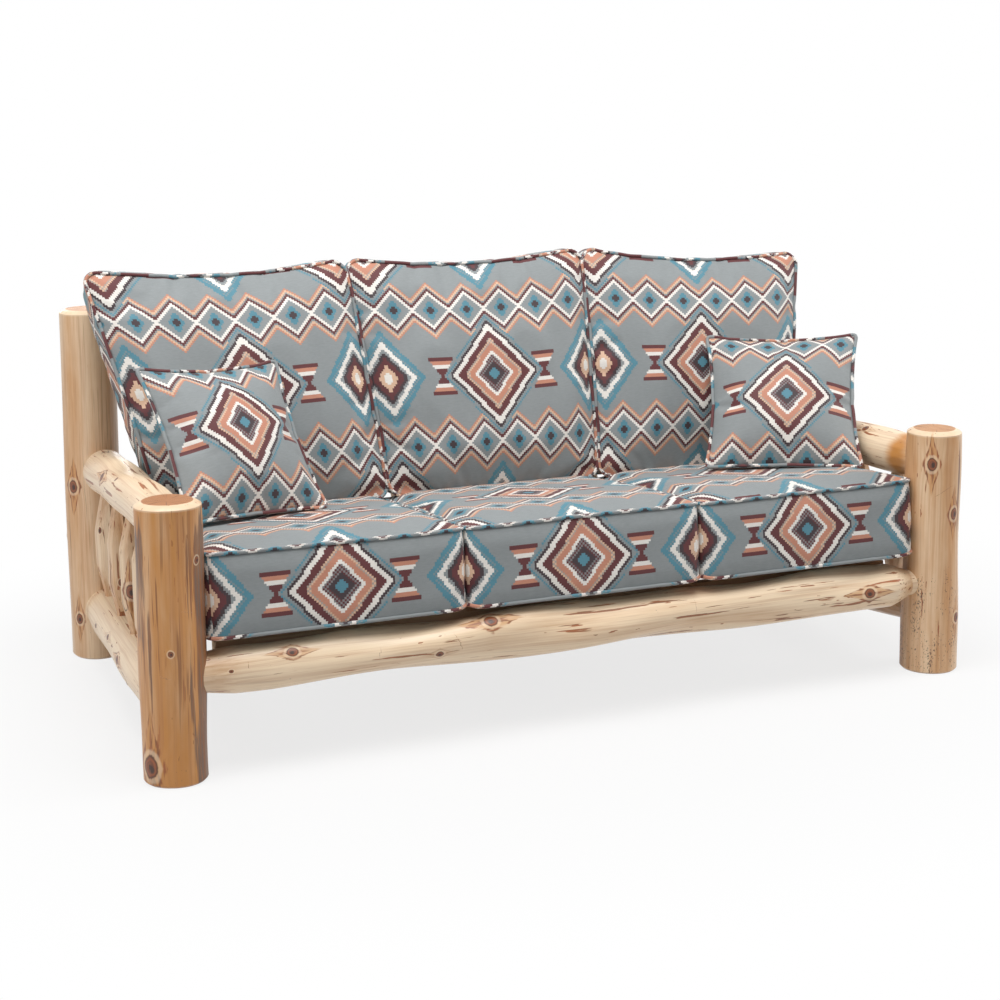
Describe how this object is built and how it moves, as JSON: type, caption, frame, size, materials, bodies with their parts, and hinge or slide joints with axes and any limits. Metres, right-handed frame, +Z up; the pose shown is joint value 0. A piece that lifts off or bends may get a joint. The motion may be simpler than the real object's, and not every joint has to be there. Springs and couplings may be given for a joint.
{
  "type": "log sofa",
  "caption": "Rustic sofa: a mortised frame of peeled logs with spindled arms and a slatted seat, carrying loose boxed seat and back cushions and throw pillows.",
  "frame": {"origin": "on the floor, at the middle of the four posts", "axes": "+X along the sofa towards the right-hand arm as seen from in front, +Y from the front to the back, +Z up"},
  "size_m": [2.1, 1.111, 1.0364],
  "materials": {
    "peeled_log": "satin",
    "deck_board": "matte",
    "plug_wood": "satin",
    "screw_steel": "zinc plated",
    "woven_cover": "jacquard weave",
    "filling": "foam wrapped in wadding"
  },
  "bodies": {
    "frame": {"front_post_left": "peeled_log", "front_post_right": "peeled_log", "back_post_left": "peeled_log", "back_post_right": "peeled_log", "arm_log_left": "peeled_log", "arm_log_right": "peeled_log", "lower_log_left": "peeled_log", "lower_log_right": "peeled_log", "front_rail": "peeled_log", "back_top_rail": "peeled_log", "rear_seat_rail": "peeled_log", "arm_spindle_left_1": "peeled_log", "arm_spindle_left_2": "peeled_log", "arm_spindle_left_3": "peeled_log", "arm_spindle_left_4": "peeled_log", "arm_spindle_left_5": "peeled_log", "arm_spindle_right_1": "peeled_log", "arm_spindle_right_2": "peeled_log", "arm_spindle_right_3": "peeled_log", "arm_spindle_right_4": "peeled_log", "arm_spindle_right_5": "peeled_log", "back_spindle_1": "peeled_log", "back_spindle_2": "peeled_log", "back_spindle_3": "peeled_log", "back_spindle_4": "peeled_log", "back_spindle_5": "peeled_log", "back_spindle_6": "peeled_log", "back_spindle_7": "peeled_log", "back_spindle_8": "peeled_log", "back_spindle_9": "peeled_log", "seat_slat_1": "deck_board", "seat_slat_2": "deck_board", "seat_slat_3": "deck_board", "seat_slat_4": "deck_board", "seat_slat_5": "deck_board", "seat_slat_6": "deck_board", "seat_slat_7": "deck_board", "seat_slat_8": "deck_board", "seat_slat_9": "deck_board", "seat_slat_10": "deck_board", "seat_ledger": "deck_board", "deck_screws": "screw_steel", "rail_lag_screws": "screw_steel", "lag_plugs": "plug_wood"},
    "seat_cushion_left": {"seat_cover_left": "woven_cover", "seat_foam_left": "filling"},
    "seat_cushion_middle": {"seat_cover_middle": "woven_cover", "seat_foam_middle": "filling"},
    "seat_cushion_right": {"seat_cover_right": "woven_cover", "seat_foam_right": "filling"},
    "back_cushion_left": {"back_cover_left": "woven_cover", "back_fill_left": "filling"},
    "back_cushion_middle": {"back_cover_middle": "woven_cover", "back_fill_middle": "filling"},
    "back_cushion_right": {"back_cover_right": "woven_cover", "back_fill_right": "filling"},
    "pillow_left": {"pillow_cover_left": "woven_cover", "pillow_fill_left": "filling"},
    "pillow_right": {"pillow_cover_right": "woven_cover", "pillow_fill_right": "filling"}
  },
  "joints": [
    {"name": "seat_cushion_left_slide", "type": "slide", "parent": "frame", "child": "seat_cushion_left", "axis": [0, -0.9936, 0.1132], "range_m": [0, 0.25]},
    {"name": "seat_cushion_middle_slide", "type": "slide", "parent": "frame", "child": "seat_cushion_middle", "axis": [0, -0.9936, 0.1132], "range_m": [0, 0.25]},
    {"name": "seat_cushion_right_slide", "type": "slide", "parent": "frame", "child": "seat_cushion_right", "axis": [0, -0.9936, 0.1132], "range_m": [0, 0.25]},
    {"name": "back_cushion_left_lift", "type": "slide", "parent": "frame", "child": "back_cushion_left", "axis": [-0.0797, 0.3083, 0.9479], "range_m": [0, 0.3]},
    {"name": "back_cushion_middle_lift", "type": "slide", "parent": "frame", "child": "back_cushion_middle", "axis": [0, 0.3093, 0.951], "range_m": [0, 0.3]},
    {"name": "back_cushion_right_lift", "type": "slide", "parent": "frame", "child": "back_cushion_right", "axis": [0.0499, 0.3089, 0.9498], "range_m": [0, 0.3]},
    {"name": "pillow_left_lift", "type": "slide", "parent": "frame", "child": "pillow_left", "axis": [0, 0.3093, 0.951], "range_m": [0, 0.3]},
    {"name": "pillow_right_lift", "type": "slide", "parent": "frame", "child": "pillow_right", "axis": [0, 0.3093, 0.951], "range_m": [0, 0.3]}
  ]
}
